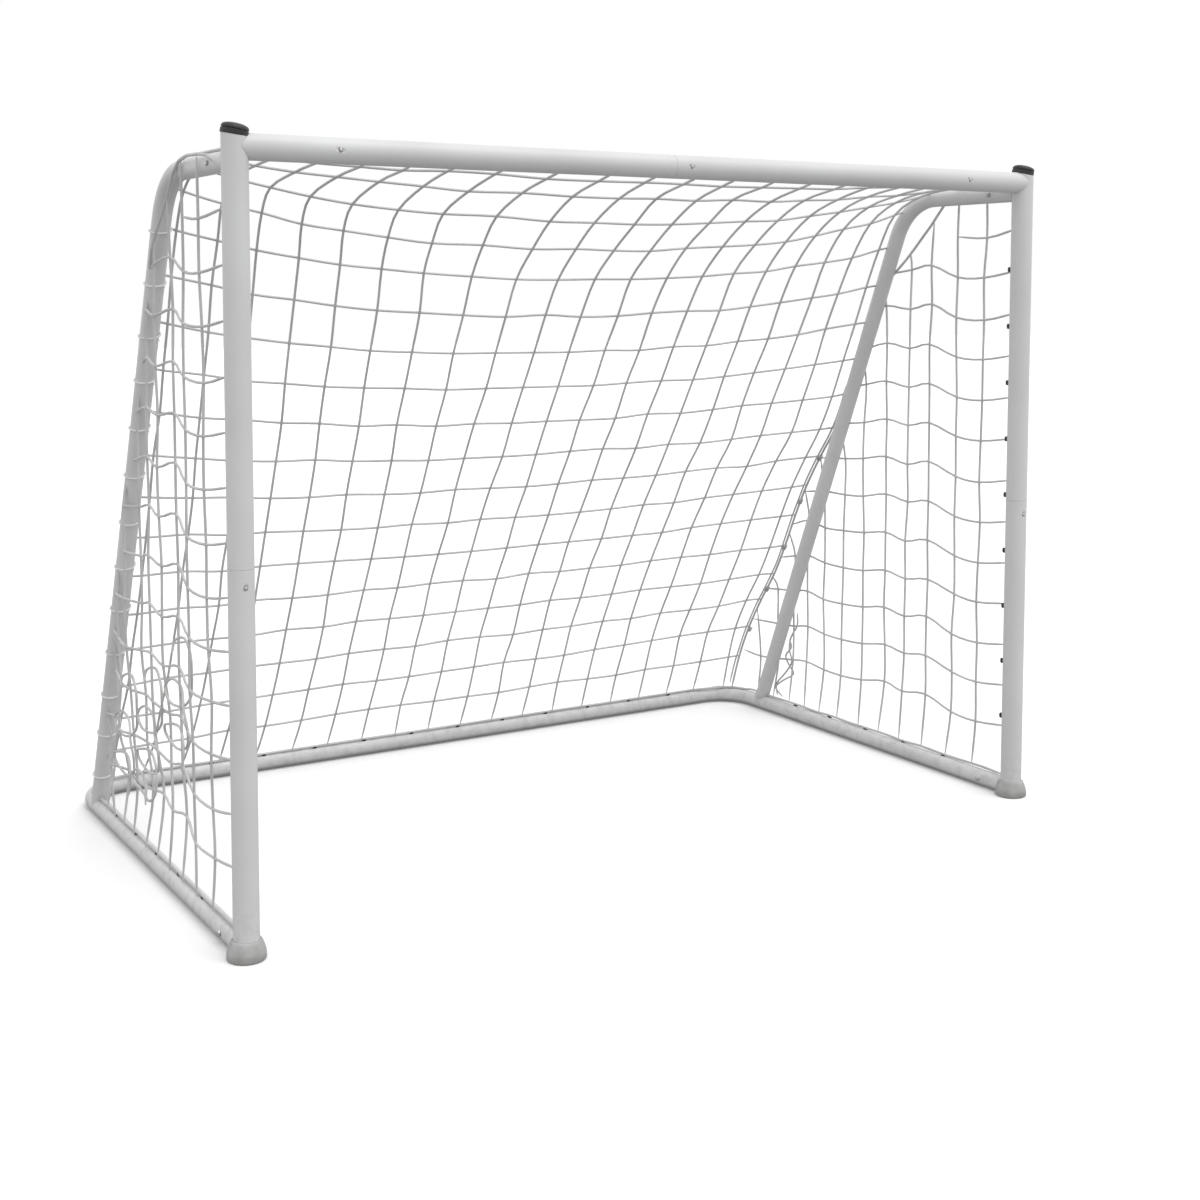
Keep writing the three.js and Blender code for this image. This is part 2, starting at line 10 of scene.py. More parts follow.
import bmesh
import bpy
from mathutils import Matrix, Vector


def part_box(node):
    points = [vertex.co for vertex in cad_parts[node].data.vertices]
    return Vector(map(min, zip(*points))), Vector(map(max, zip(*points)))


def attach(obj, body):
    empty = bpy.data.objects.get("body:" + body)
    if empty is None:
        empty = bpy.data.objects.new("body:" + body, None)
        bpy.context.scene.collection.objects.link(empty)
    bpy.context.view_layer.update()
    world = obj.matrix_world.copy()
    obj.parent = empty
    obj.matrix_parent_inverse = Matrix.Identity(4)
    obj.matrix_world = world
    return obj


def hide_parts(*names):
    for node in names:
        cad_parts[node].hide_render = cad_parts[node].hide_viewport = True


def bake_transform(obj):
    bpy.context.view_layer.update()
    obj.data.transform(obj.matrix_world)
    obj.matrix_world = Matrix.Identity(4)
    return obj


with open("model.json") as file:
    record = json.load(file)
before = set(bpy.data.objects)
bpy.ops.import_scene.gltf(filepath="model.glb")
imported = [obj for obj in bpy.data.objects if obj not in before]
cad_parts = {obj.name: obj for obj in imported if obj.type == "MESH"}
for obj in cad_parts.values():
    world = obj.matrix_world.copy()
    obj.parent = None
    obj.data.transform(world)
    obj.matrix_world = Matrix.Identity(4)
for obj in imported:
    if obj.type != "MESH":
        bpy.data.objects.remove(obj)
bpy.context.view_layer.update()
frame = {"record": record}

X = Vector((1, 0, 0))
Y = Vector((0, 1, 0))
Z = Vector((0, 0, 1))
SIDES = (("left", -1), ("right", 1))

# ---- Places, from the frame ----


def middle(node):
    low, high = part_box(node)
    return (low + high) / 2


def half_size(node):
    low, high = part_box(node)
    return (high - low) / 2


POST_X = middle("right_post_cap").x
POST_Y = middle("right_post_cap").y
POST_RIM = 1.843  # height of the posts' open ends, under the caps
CROSSBAR_Z = middle("crossbar_right").z
REAR_Y = middle("rear_bar_right").y
GROUND_Z = middle("rear_bar_right").z
TOP_BAR_Z = middle("right_top_bar_bolt").z
ARM_BOLT_Y = middle("right_top_bar_bolt").y
CORNER_Y = POST_Y + 0.484  # where the lines of the top bar and the brace meet
LANDING_Y = POST_Y + 1.222  # where the brace meets the ground bar

MAIN_R = half_size("crossbar_right").z
SIDE_R = half_size("rear_bar_right").z
WALL = 0.0012
SLIP = 0.0006  # between a plug and the tube round it
GAP = 0.0004  # between pieces that touch
MAIN_PLUG = MAIN_R - WALL - SLIP
SIDE_PLUG = SIDE_R - WALL - SLIP
TOP_BEND_R = 0.18
GROUND_BEND_R = 0.132
POST_SPLICE = 0.886
CROSSBAR_SEAM = -0.044
REAR_SEAM = 0.994
BRACE_SEAM = 0.9  # down the brace from its corner
PLUG_LENGTH = 0.092
PLUG_SHOULDER = 0.008  # how far a plug is held inside its own tube
CROSS_ARM = 0.29  # of each post, inside the crossbar
SIDE_ARM = 0.146  # of each post, inside the top bar and the ground bar
STUB_LENGTH = 0.128  # of the ground bar, inside the brace
STUB_BUTTON = 0.092  # up the brace from its landing
BUTTON_HOLE_R = 0.005
MAIN_DRILL = 0.036  # how far a button's hole is drilled from the tube's axis
SIDE_DRILL = 0.03
FOOT_FLOOR = 0.005

BRACE_DOWN = Vector((0, LANDING_Y - CORNER_Y, GROUND_Z - TOP_BAR_Z)).normalized()
BRACE_BACK = Vector((0, -BRACE_DOWN.z, BRACE_DOWN.y))

# ---- Meshes ----


class Mesh:
    """Collects closed bodies, and becomes one Blender object."""

    def __init__(self):
        self.verts = []
        self.faces = []

    def rings(self, rings, closed=False, capped=True):
        """Joins rings of points, one after the other. A closed set joins its last ring to its first."""
        base = len(self.verts)
        count = len(rings[0])
        for ring in rings:
            self.verts.extend(ring)
        steps = len(rings) if closed else len(rings) - 1
        for i in range(steps):
            here = base + i * count
            there = base + ((i + 1) % len(rings)) * count
            for k in range(count):
                n = (k + 1) % count
                self.faces.append((here + k, here + n, there + n, there + k))
        if capped and not closed:
            last = base + (len(rings) - 1) * count
            self.faces.append(tuple(range(base + count - 1, base - 1, -1)))
            self.faces.append(tuple(range(last, last + count)))

    def stand(self, name, sharp=30):
        """The bodies as a bare object."""
        data = bpy.data.meshes.new(name)
        data.from_pydata([tuple(v) for v in self.verts], [], self.faces)
        smooth(data, sharp)
        piece = bpy.data.objects.new(name, data)
        bpy.context.scene.collection.objects.link(piece)
        return piece

    def build(self, name, material, slot, body="frame", sharp=40):
        """The bodies as a piece of the goal."""
        piece = self.stand(name, sharp)
        piece.data.materials.append(material)
        if body:
            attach(piece, body)
        return piece


def smooth(data, sharp):
    """Faces out, round stretches shaded smooth, and edges sharper than the given angle left crisp."""
    shape = bmesh.new()
    shape.from_mesh(data)
    bmesh.ops.recalc_face_normals(shape, faces=shape.faces)
    limit = math.radians(sharp)
    for face in shape.faces:
        face.smooth = True
    for edge in shape.edges:
        edge.smooth = len(edge.link_faces) == 2 and edge.calc_face_angle(0) < limit
    shape.to_mesh(data)
    shape.free()


def square_to(direction):
    """Two directions square to the given one and to each other."""
    helper = Z if abs(direction.z) < 0.9 else Y
    first = direction.cross(helper).normalized()
    return first, direction.cross(first).normalized()


def circle(first, second, radius, sides):
    """Spokes all round, starting at first and turning towards second."""
    angles = [2 * math.pi * k / sides for k in range(sides)]
    return [(first * math.cos(angle) + second * math.sin(angle)) * radius for angle in angles]


def spline(points, steps):
    """A smooth run through the points."""
    ends = [points[0] * 2 - points[1], *points, points[-1] * 2 - points[-2]]
    run = []
    for i in range(1, len(ends) - 2):
        a, b, c, d = ends[i - 1 : i + 3]
        for k in range(steps):
            t = k / steps
            run.append(
                (b * 2 + (c - a) * t + (a * 2 - b * 5 + c * 4 - d) * t**2
                 + (b * 3 - a - c * 3 + d) * t**3) / 2
            )
    run.append(points[-1])
    return run


def tangents(points):
    found = []
    for i, here in enumerate(points):
        before = points[max(i - 1, 0)]
        after = points[min(i + 1, len(points) - 1)]
        inward = (here - before).normalized()
        outward = (after - here).normalized()
        found.append((inward + outward).normalized())
    return found


# ---- Steel tubes ----

TUBE_SIDES = 48
RIM = 0.0004  # rounding of a tube's cut edge


def bend(start, corner, end, radius, steps=22):
    """The centre line from start to end, rounding the corner between them."""
    inward = (corner - start).normalized()
    outward = (end - corner).normalized()
    turn = inward.angle(outward)
    first = corner - inward * radius * math.tan(turn / 2)
    side = (outward - inward * outward.dot(inward)).normalized()
    centre = first + side * radius
    points = [start]
    for step in range(steps + 1):
        angle = turn * step / steps
        points.append(centre - side * radius * math.cos(angle) + inward * radius * math.sin(angle))
    points.append(end)
    return points


def tube(mesh, points, outer, normal=None, saddle=None, plug=None, stations=()):
    """A hollow tube along a centre line. saddle is (radius, axis) of a round bar that the start is cut to
    fit, with the start point on that bar's axis. plug is the radius of a narrow end that goes on into the
    next tube. stations are extra distances from the start that get a ring."""
    bore = outer - WALL
    points = [Vector(p) for p in points]
    if stations:
        direction = (points[1] - points[0]).normalized()
        extra = [points[0] + direction * s for s in sorted(stations)]
        points = [points[0], *extra, *points[1:]]
    lines = tangents(points)
    first = normal or square_to(lines[0])[0]

    def ring(i, radius, shift=0.0, cut=None):
        line = lines[i]
        second = line.cross(first)
        made = []
        for spoke in circle(first, second, radius, TUBE_SIDES):
            along = shift
            if cut:
                lateral = spoke.dot(line.cross(cut[1]).normalized())
                along += math.sqrt(max(cut[0] ** 2 - lateral**2, 1e-9))
            made.append(points[i] + spoke + line * along)
        return made

    last = len(points) - 1
    rings = [
        ring(0, bore + RIM, 0, saddle),
        ring(0, outer - RIM, 0, saddle),
        ring(0, outer, RIM, saddle),
    ]
    rings += [ring(i, outer) for i in range(1, last)]
    rings += [ring(last, outer, -RIM), ring(last, outer - RIM)]
    if plug:
        plug_bore = plug - WALL
        rings += [
            ring(last, plug + RIM),
            ring(last, plug, RIM),
            ring(last, plug, PLUG_LENGTH - RIM * 2),
            ring(last, plug - RIM, PLUG_LENGTH),
            ring(last, plug_bore + RIM, PLUG_LENGTH),
            ring(last, plug_bore, PLUG_LENGTH - RIM),
            ring(last, plug_bore, -PLUG_SHOULDER),
            ring(last, bore, -PLUG_SHOULDER),
        ]
    else:
        rings += [ring(last, bore + RIM), ring(last, bore, -RIM)]
    rings += [ring(i, bore) for i in range(last - 1, 0, -1)]
    rings.append(ring(0, bore, RIM, saddle))
    mesh.rings(rings, closed=True)


def cut_away(piece, bits):
    """Takes the collected bits out of a piece."""
    tool = bits.stand("bits")
    cut = piece.modifiers.new("cut", "BOOLEAN")
    cut.operation = "DIFFERENCE"
    cut.solver = "EXACT"
    cut.object = tool
    graph = bpy.context.evaluated_depsgraph_get()
    made = bpy.data.meshes.new_from_object(piece.evaluated_get(graph))
    piece.modifiers.clear()
    old = piece.data
    piece.data = made
    bpy.data.meshes.remove(old)
    bpy.data.objects.remove(tool)


def drill(piece, holes):
    """Makes buttons' holes through one wall, all in one cut. Each set of holes is (direction, reach,
    places on the tube's axis)."""
    bits = Mesh()
    for direction, reach, places in holes:
        first, second = square_to(direction)
        hole = circle(first, second, BUTTON_HOLE_R, 28)
        for place in places:
            inner = place + direction * reach * 0.35
            outer = place + direction * reach
            bits.rings([[inner + spoke for spoke in hole], [outer + spoke for spoke in hole]])
    cut_away(piece, bits)


def steel(mesh, node, paint, *holes):
    """Builds the piece that stands for a node, with its sets of holes."""
    piece = mesh.build(f"{node}_tube", paint, "white_paint")
    drill(piece, holes)
    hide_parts(node)


HOLE_MARGIN = 0.012  # rings this far each side of a hole keep its cut local


def near(place):
    return (place - HOLE_MARGIN, place + HOLE_MARGIN)


def posts(paint):
    button_z = middle("right_post_button").z
    cross_button = middle("right_crossbar_button").x
    for name, sign in SIDES:
        x = POST_X * sign
        foot = Vector((x, POST_Y, FOOT_FLOOR + GAP))
        seam = Vector((x, POST_Y, POST_SPLICE))
        lower = Mesh()
        tube(lower, [foot, seam], MAIN_R, stations=near(button_z - foot.z))
        ground = Vector((x, POST_Y, GROUND_Z))
        tube(lower, [ground, ground + Y * SIDE_ARM], SIDE_PLUG, saddle=(MAIN_R, Z))
        post_button = Vector((x, POST_Y, button_z))
        steel(lower, f"{name}_post_lower", paint, (-Y, MAIN_DRILL, [post_button]))

        # The upper post is made from its rim down, so that its plug is at the tube's far end.
        upper = Mesh()
        rim = Vector((x, POST_Y, POST_RIM))
        start = seam + Z * GAP
        tube(upper, [rim, start], MAIN_R, plug=MAIN_PLUG)
        cross = Vector((x, POST_Y, CROSSBAR_Z))
        tip = cross - X * sign * CROSS_ARM
        tube(upper, [cross, tip], MAIN_PLUG, saddle=(MAIN_R, Z),
             stations=near(POST_X - abs(cross_button)))
        top = Vector((x, POST_Y, TOP_BAR_Z))
        tube(upper, [top, top + Y * SIDE_ARM], SIDE_PLUG, saddle=(MAIN_R, Z))
        steel(upper, f"{name}_post_upper", paint,
              (-Y, MAIN_DRILL, [post_button, Vector((cross_button * sign, POST_Y, CROSSBAR_Z))]))


def crossbar(paint):
    side_button = abs(middle("right_crossbar_button").x)
    snug = (MAIN_R + GAP, Z)

    def place(x):
        return Vector((x, POST_Y, CROSSBAR_Z))

    left = Mesh()
    tube(left, [place(-POST_X), place(CROSSBAR_SEAM)], MAIN_R, saddle=snug,
         plug=MAIN_PLUG, stations=near(POST_X - side_button))
    steel(left, "crossbar_left", paint, (-Y, MAIN_DRILL, [place(0), place(-side_button)]))

    right = Mesh()
    tube(right, [place(POST_X), place(CROSSBAR_SEAM + GAP)], MAIN_R, saddle=snug,
         stations=(*near(POST_X - side_button), *near(POST_X)))
    steel(right, "crossbar_right", paint, (-Y, MAIN_DRILL, [place(0), place(side_button)]))


def brace_places(sign):
    """Where a brace's line starts, its seam, the button just under the seam, and its landing."""
    corner = Vector((POST_X * sign, CORNER_Y, TOP_BAR_Z))
    seam = corner + BRACE_DOWN * BRACE_SEAM
    button = seam + BRACE_DOWN * PLUG_LENGTH / 2
    return corner, seam, button, Vector((POST_X * sign, LANDING_Y, GROUND_Z))


def top_bar(name, sign, paint):
    """The bar from the post's top that bends down into the upper part of the brace."""
    corner, seam, button, _ = brace_places(sign)
    start = Vector((POST_X * sign, POST_Y, TOP_BAR_Z))
    top = Mesh()
    tube(top, bend(start, corner, seam, TOP_BEND_R), SIDE_R, normal=X,
         saddle=(MAIN_R + GAP, Z), plug=SIDE_PLUG)
    steel(top, f"{name}_top_bar", paint, (BRACE_BACK, SIDE_DRILL, [button]))


def brace(name, sign, paint):
    """The lower brace, made from its foot up, with the foot cut to fit the ground bar."""
    _, seam, button, landing = brace_places(sign)
    reach = (landing - seam).length
    lower = Mesh()
    tube(lower, [landing, seam + BRACE_DOWN * GAP], SIDE_R, normal=X,
         saddle=(SIDE_R + GAP, Y), stations=(*near(STUB_BUTTON), *near(reach - PLUG_LENGTH / 2)))
    steel(lower, f"{name}_brace", paint,
          (BRACE_BACK, SIDE_DRILL, [button, landing - BRACE_DOWN * STUB_BUTTON]))


def ground_bar(name, sign, paint, rear_button):
    """The bar that rounds the rear corner, and carries the stub under the brace."""
    landing = brace_places(sign)[3]
    start = Vector((POST_X * sign, POST_Y, GROUND_Z))
    corner = Vector((POST_X * sign, REAR_Y, GROUND_Z))
    seam = Vector((REAR_SEAM * sign, REAR_Y, GROUND_Z))
    bar = Mesh()
    tube(bar, bend(start, corner, seam, GROUND_BEND_R), SIDE_R, normal=Z,
         saddle=(MAIN_R + GAP, Z), plug=SIDE_PLUG)
    tube(bar, [landing, landing - BRACE_DOWN * STUB_LENGTH], SIDE_PLUG,
         normal=X, saddle=(SIDE_R, Y))
    steel(bar, f"{name}_ground_bar", paint, (Y, SIDE_DRILL, [rear_button]),
          (BRACE_BACK, SIDE_DRILL, [landing - BRACE_DOWN * STUB_BUTTON]))


def rear_bar(name, sign, paint, rear_button):
    """Half of the rear bar. The left half's plug goes into the right half."""
    start = Vector(((REAR_SEAM - GAP) * sign, REAR_Y, GROUND_Z))
    end = Vector((CROSSBAR_SEAM, REAR_Y, GROUND_Z))
    plug = SIDE_PLUG
    holes = [abs(rear_button.x - start.x)]
    if sign > 0:
        end.x += GAP
        plug = None
        holes.append(start.x)
    rear = Mesh()
    tube(rear, [start, end], SIDE_R, normal=Z, plug=plug,
         stations=[edge for hole in holes for edge in near(hole)])
    steel(rear, f"rear_bar_{name}", paint, (Y, SIDE_DRILL, [rear_button, Vector((0, REAR_Y, GROUND_Z))]))


def side_frames(paint):
    for name, sign in SIDES:
        rear_button = Vector((middle(f"{name}_rear_button").x, REAR_Y, GROUND_Z))
        top_bar(name, sign, paint)
        brace(name, sign, paint)
        ground_bar(name, sign, paint, rear_button)
        rear_bar(name, sign, paint, rear_button)


# ---- Caps, feet, buttons and bolts ----


def lathe(mesh, profile, place, axis, sides=40):
    """A round body: profile is [radius, height along the axis] pairs, from one end to the other."""
    first, second = square_to(axis)
    rings = []
    for radius, height in profile:
        spokes = circle(first, second, max(radius, 1e-5), sides)
        rings.append([place + axis * height + spoke for spoke in spokes])
    mesh.rings(rings)


def rounded(corners, steps=5):
    """A profile with its corners rounded. Each corner is (radius, height, rounding)."""
    made = []
    for i, (radius, height, rounding) in enumerate(corners):
        here = Vector((radius, height))
        if rounding == 0 or i in (0, len(corners) - 1):
            made.append((radius, height))
            continue
        before = (Vector(corners[i - 1][:2]) - here).normalized()
        after = (Vector(corners[i + 1][:2]) - here).normalized()
        for k in range(steps + 1):
            t = k / steps
            spot = here + before * rounding * (1 - t) ** 2 + after * rounding * t**2
            made.append((spot.x, spot.y))
    return made


CAP_LEAN = Vector((0.857, -0.515, 0)) * 0.2  # both caps sit askew, the same way


def caps(plastic):
    """Domed caps with a skirt pushed over the posts' rims, and a shank inside."""
    shank_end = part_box("right_post_cap")[0].z - POST_RIM
    bore = MAIN_R - WALL
    radius = half_size("right_post_cap").x
    axis = (Z + CAP_LEAN).normalized()
    for name, sign in SIDES:
        rim = Vector((POST_X * sign, POST_Y, POST_RIM))
        cap = Mesh()
        profile = rounded([
            (0, shank_end, 0),
            (bore - 0.006, shank_end, 0.001),
            (bore - 0.003, -0.0062, 0.0004),
            (radius - 0.0006, -0.0066, 0.0005),
            (radius + 0.0004, -0.0050, 0.0006),
            (radius + 0.0004, 0.0045, 0.0008),
            (radius - 0.0014, 0.0055, 0.0005),
            (radius - 0.0014, 0.0065, 0.0005),
            (radius + 0.0002, 0.0075, 0.0006),
            (radius - 0.0010, 0.0140, 0.005),
            (radius - 0.014, 0.0192, 0.008),
            (0.0, 0.0200, 0),
        ])
        lathe(cap, profile, rim, axis, sides=56)
        piece = cap.build(f"{name}_cap", plastic, "black_plastic")
        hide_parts(f"{name}_post_cap")


def feet(rubber):
    """Rubber cups under the posts, open at the back, where the ground bar leaves the post."""
    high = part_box("right_foot")[1]
    radius = high.x - POST_X
    wide = SIDE_R + 0.0006  # of the opening round the bar
    for name, sign in SIDES:
        place = Vector((POST_X * sign, POST_Y, 0))
        foot = Mesh()
        profile = rounded([
            (radius - 0.004, 0, 0),
            (radius, 0.003, 0.002),
            (radius, 0.017, 0.004),
            (radius - 0.0035, 0.029, 0.006),
            (MAIN_R + 0.006, high.z - 0.003, 0.002),
            (MAIN_R + 0.003, high.z, 0.0012),
            (MAIN_R + GAP, high.z, 0.0004),
            (MAIN_R + GAP, FOOT_FLOOR, 0),
        ])
        lathe(foot, profile, place, Z, sides=64)
        piece = foot.build(f"{name}_foot_cup", rubber, "grey_rubber")
        opening = [Vector((wide * math.cos(a), 0, wide * math.sin(a)))
                   for a in (math.pi + math.pi * k / 24 for k in range(25))]
        opening += [Vector((wide, 0, 0.04)), Vector((-wide, 0, 0.04))]
        start = place + Z * GROUND_Z + Y * 0.012
        notch = Mesh()
        notch.rings([[start + p for p in opening], [start + p + Y * 0.05 for p in opening]])
        cut_away(piece, notch)
        smooth(piece.data, 40)
        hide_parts(f"{name}_foot")


# Which way each button points, and the radius of the tube it comes out of.
BUTTONS = {"crossbar_middle": (-Y, MAIN_R), "rear_middle": (Y, SIDE_R)}
for side, _ in SIDES:
    BUTTONS[f"{side}_post"] = (-Y, MAIN_R)
    BUTTONS[f"{side}_crossbar"] = (-Y, MAIN_R)
    BUTTONS[f"{side}_brace"] = (BRACE_BACK, SIDE_R)
    BUTTONS[f"{side}_brace_foot"] = (BRACE_BACK, SIDE_R)
    BUTTONS[f"{side}_rear"] = (Y, SIDE_R)

BUTTON_R = 0.0046
BUTTON_PROUD = 0.003  # the dome above the tube's face
PIN_SEAT = 0.009  # how far below the plug's bore the pin sits on its leaf
PIN_FLANGE = 0.002
LEAF = 0.001  # thickness of the spring strip
LEAF_WIDTH = 0.010
LEAF_BEVEL = 0.0003
LEAF_SEAT = 0.009  # half the length of the flat that the pin sits on
LEAF_REACH = 0.044  # from the pin to the turn of the strip
LEAF_TURN_R = 0.0055
LEAF_TURN_Z = -0.0025  # the turn's middle, from the tube's axis
LEAF_REST = 0.002  # the lower leaf's middle above the plug's bore
TURN_STEPS = 14


def button_body(name):
    bodies = frame["record"]["behaviour"]["bodies"]
    return next(body for body, nodes in bodies.items() if f"{name}_button" in nodes)


def button_places(name):
    """The point on the tube's axis under a button, and how far from it the plug's bore, the pin's foot
    and its crown are."""
    outward, tube_r = BUTTONS[name]
    plug_bore = tube_r - WALL - SLIP - WALL
    seat = plug_bore - PIN_SEAT
    crown = tube_r + BUTTON_PROUD
    return middle(f"{name}_button") - outward * (seat + crown) / 2, plug_bore, seat, crown


def buttons(zinc):
    """Each snap button is a domed pin with a flange inside the tube. It rides on its own body."""
    for name, (outward, _) in BUTTONS.items():
        axis_point, _, seat, crown = button_places(name)
        pin = Mesh()
        profile = rounded([
            (0, seat, 0),
            (BUTTON_R + PIN_FLANGE, seat, 0.0003),
            (BUTTON_R + PIN_FLANGE, seat + 0.0015, 0.0003),
            (BUTTON_R, seat + 0.0015, 0.0002),
            (BUTTON_R, crown - 0.0016, 0.0012),
            (0.0030, crown - 0.0001, 0.0012),
            (0, crown, 0),
        ])
        lathe(pin, profile, axis_point, outward, sides=32)
        piece = pin.build(f"{name}_snap_button", zinc, "zinc_steel", body=button_body(name))
        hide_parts(f"{name}_button")


def spring_route(high, low):
    """The strip's middle line, as (reach from the pin, height): under the pin, round the turn, and back."""
    route = [(-LEAF_SEAT, high), (LEAF_SEAT, high), (LEAF_SEAT + 0.0025, high - 0.0002)]
    for k in range(TURN_STEPS + 1):
        angle = math.pi * k / TURN_STEPS
        reach = LEAF_REACH + LEAF_TURN_R * math.sin(angle)
        route.append((reach, LEAF_TURN_Z + LEAF_TURN_R * math.cos(angle)))
    return route + [(0.01, low + 0.0003), (-LEAF_SEAT, low)]


def springs(steel):
    """The leaf spring under each pin: an upper leaf under the pin, turned round into a lower leaf."""
    half, thin, bevel = LEAF_WIDTH / 2, LEAF / 2, LEAF_BEVEL
    section = ((bevel - half, -thin), (half - bevel, -thin), (half, 0.0002 - thin), (half, thin - 0.0002),
               (half - bevel, thin), (bevel - half, thin), (-half, thin - 0.0002), (-half, 0.0002 - thin))
    for name, (outward, _) in BUTTONS.items():
        axis_point, plug_bore, seat, _ = button_places(name)
        away = middle(f"{name}_spring") - axis_point
        lengthwise = X if abs(away.x) > 0.01 else outward.cross(X)
        lengthwise = lengthwise * math.copysign(1, lengthwise.dot(away))
        wide = outward.cross(lengthwise)
        high = seat - GAP - thin
        route = spring_route(high, LEAF_REST - plug_bore)
        rings = []
        for i, (reach, height) in enumerate(route):
            before = route[max(i - 1, 0)]
            after = route[min(i + 1, len(route) - 1)]
            run = Vector((after[0] - before[0], after[1] - before[1])).normalized()
            normal = outward * run.x - lengthwise * run.y
            place = axis_point + lengthwise * reach + outward * height
            rings.append([place + wide * across + normal * up for across, up in section])
        strip = Mesh()
        strip.rings(rings)
        piece = strip.build(f"{name}_leaf_spring", steel, "spring_steel", body=None)
        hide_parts(f"{name}_spring")
        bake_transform(piece)


BOLT_R = 0.004
THREAD_PITCH = 0.001
THREAD_DEPTH = 0.0005
BOLT_END = SIDE_R + GAP + 0.009  # from the bar's axis


def hexagon(place, axis, radius, height):
    return [place + axis * height + spoke for spoke in circle(Z, axis.cross(Z), radius, 6)]


def hex_bolt(place, outward, under):
    """A chamfered head above the given height, and a threaded shank."""
    bolt = Mesh()
    head = ((0.0068, 0), (0.0075, 0.0006), (0.0075, 0.0042), (0.0062, 0.0053))
    bolt.rings([hexagon(place, outward, radius, under + height) for radius, height in head])
    height = -SIDE_R + 0.006
    shank = [(0.0001, under + 0.0005), (BOLT_R, under + GAP), (BOLT_R, height)]
    while height > 0.0012 - BOLT_END:
        shank.append((BOLT_R - THREAD_DEPTH, height - THREAD_PITCH / 2))
        shank.append((BOLT_R, height - THREAD_PITCH))
        height -= THREAD_PITCH
    shank += [(0.0032, -BOLT_END), (0.0001, -BOLT_END)]
    lathe(bolt, shank, place, outward, sides=24)
    return bolt


def hex_nut(place, outward, under):
    nut = Mesh()
    outer = ((0.0068, 0), (0.0075, 0.0007), (0.0075, 0.0058), (0.0068, 0.0065))
    bore = ((0.0046, 0.0065), (0.0043, 0.0062), (0.0043, 0.0003), (0.0046, 0))
    rings = [hexagon(place, -outward, radius, under + height) for radius, height in outer + bore]
    nut.rings(rings, closed=True)
    return nut


def bolts(zinc):
    """Hex bolts and nuts through the arms, with their heads on the outer side."""
    for name, sign in SIDES:
        for bar in ("top_bar", "ground_bar"):
            place = Vector((POST_X * sign, ARM_BOLT_Y, middle(f"{name}_{bar}_bolt").z))
            for kind, make in (("bolt", hex_bolt), ("nut", hex_nut)):
                body = make(place, X * sign, SIDE_R + GAP)
                piece = body.build(f"{name}_{bar}_hex_{kind}", zinc, "zinc_steel", sharp=25)
                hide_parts(f"{name}_{bar}_{kind}")


# ---- Net ----

CORD_R = 0.0035
HEM_R = 0.0040
CORD_SIDES = 6
MESH_SIZE = 0.119  # between upright cords
COLUMNS = 20  # of the roof and back
ROWS = 19
NET_X = POST_X + 0.029  # the side nets hang just outside the tubes
loose = random.Random(7)


def strand(mesh, points, radius=CORD_R, steps=3):
    """A cord through the points, with rounded ends."""
    run = spline(points, steps) if steps > 1 else list(points)
    lines = tangents(run)
    first, second = square_to(lines[0])
    rings = []
    for i, (place, line) in enumerate(zip(run, lines)):
        first = (first - line * first.dot(line)).normalized()
        second = line.cross(first)
        size = radius * 0.5 if i in (0, len(run) - 1) else radius
        rings.append([place + spoke for spoke in circle(first, second, size, CORD_SIDES)])
    mesh.rings(rings)


def knot(mesh, place, along, across):
    """A small lumpy knot where two cords cross."""
    outward = along.cross(across)
    if outward.length < 1e-6:
        outward = square_to(along)[0]
    outward.normalize()
    along = along.normalized()
    across = outward.cross(along)
    size = CORD_R * 1.26
    rings = []
    for height, width in ((-1.35, 0.35), (-0.8, 0.95), (0, 1.15), (0.8, 0.95), (1.35, 0.35)):
        spokes = circle(across, outward * 0.8, width * size, CORD_SIDES)
        rings.append([place + along * height * size + spoke for spoke in spokes])
    mesh.rings(rings)


class Line:
    """A smooth line in the plane of a side, read by its share of its length. Points are
    (distance behind the posts, height)."""

    def __init__(self, points):
        self.points = spline([Vector((0, POST_Y + back, height)) for back, height in points], 16)
        self.lengths = [0.0]
        for a, b in zip(self.points, self.points[1:]):
            self.lengths.append(self.lengths[-1] + (b - a).length)

    def at(self, share):
        goal = min(max(share, 0), 1) * self.lengths[-1]
        i = 0
        while i < len(self.lengths) - 2 and self.lengths[i + 1] < goal:
            i += 1
        span = self.lengths[i + 1] - self.lengths[i]
        return self.points[i].lerp(self.points[i + 1], (goal - self.lengths[i]) / span)


OVER_BAR = TOP_BAR_Z + SIDE_R + CORD_R
HEM_Z = GROUND_Z + SIDE_R + HEM_R
# The net sags between the two top bars, and slopes down to the rear bar.
MIDDLE_LINE = Line([(0.035, 1.790), (0.20, 1.751), (0.33, 1.687), (0.44, 1.613), (0.549, 1.517),
                    (0.819, 1.096), (1.145, 0.56), (1.392, HEM_Z)])
# On the right its edge leaves the brace half way down, and runs to the rear corner.
RIGHT_LINE = Line([(0.035, OVER_BAR), (0.30, OVER_BAR), (0.40, 1.80), (0.50, 1.745), (0.548, 1.66),
                   (0.665, 1.40), (0.765, 1.18), (0.82, 1.056), (0.95, 0.876), (1.04, 0.718),
                   (1.13, 0.536), (1.234, 0.382), (1.30, 0.262), (1.35, 0.12), (1.36, HEM_Z)])
# On the left its edge is laced to the brace all the way down.
LEFT_LINE = Line([(0.035, OVER_BAR), (0.30, OVER_BAR), (0.40, 1.80), (0.50, 1.745), (0.56, 1.67),
                  (0.79, 1.11), (0.99, 0.64), (1.155, 0.25), (1.235, HEM_Z)])
EDGE_X = POST_X + 0.004
SEAM_FOOT_X = 1.155  # the back net's corners stand on the rounded rear corners of the frame
FOLD = 0.135  # how far down the net its roof folds into its back, as a share


